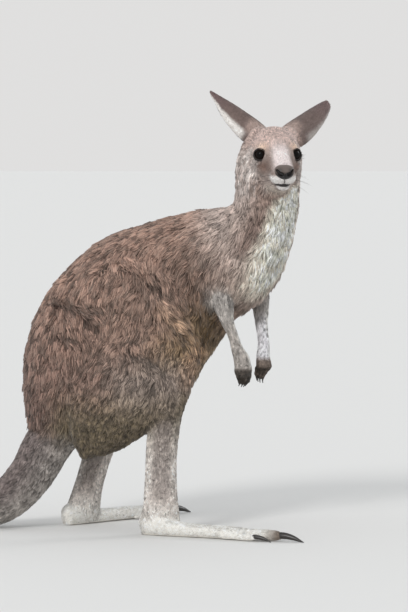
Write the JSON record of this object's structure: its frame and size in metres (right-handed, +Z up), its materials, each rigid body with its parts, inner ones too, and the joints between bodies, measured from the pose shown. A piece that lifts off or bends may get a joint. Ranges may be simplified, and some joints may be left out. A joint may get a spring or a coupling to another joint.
{
  "type": "kangaroo",
  "caption": "Life-size still model of a young eastern grey kangaroo standing on its hind feet and tail, looking round over its right side.",
  "frame": {"origin": "on the floor under the middle of the model's box", "axes": "+X the way the hips face, with the tail lying back along -X; +Y the animal's left; +Z up; the head looks round towards -Y"},
  "size_m": [1.218, 0.5582, 0.8972],
  "materials": {
    "coat": "shaggy grey-brown fur with pinkish-tan tips and dark brown shadows",
    "pale_coat": "short pale grey fur with dark speckled streaks",
    "dark_coat": "short dark grey-brown fur with a white fringe on the ears",
    "nose_skin": "bare grained black skin, slightly moist",
    "eye": "wet, glossy, near-black brown",
    "claw": "dark horn, worn at the tips"
  },
  "bodies": {
    "root": {"head": "coat", "neck": "coat", "chest": "coat", "hips": "coat", "nose": "nose_skin", "eye_right": "eye", "eye_left": "eye", "ear_right": "dark_coat", "ear_left": "dark_coat", "tail_root": "coat", "tail_middle": "coat", "tail_end": "coat", "upper_arm_right": "coat", "forearm_right": "pale_coat", "hand_right": "dark_coat", "thigh_right": "coat", "shank_right": "pale_coat", "foot_right": "pale_coat", "fore_claw_right_1": "claw", "fore_claw_right_2": "claw", "fore_claw_right_3": "claw", "fore_claw_right_4": "claw", "fore_claw_right_5": "claw", "hind_claw_right_4": "claw", "hind_claw_right_5": "claw", "hind_claw_right_3": "claw", "hind_claw_right_2": "claw", "upper_arm_left": "coat", "forearm_left": "pale_coat", "hand_left": "dark_coat", "thigh_left": "coat", "shank_left": "pale_coat", "foot_left": "pale_coat", "fore_claw_left_1": "claw", "fore_claw_left_2": "claw", "fore_claw_left_3": "claw", "fore_claw_left_4": "claw", "fore_claw_left_5": "claw", "hind_claw_left_4": "claw", "hind_claw_left_5": "claw", "hind_claw_left_3": "claw", "hind_claw_left_2": "claw"}
  },
  "joints": []
}
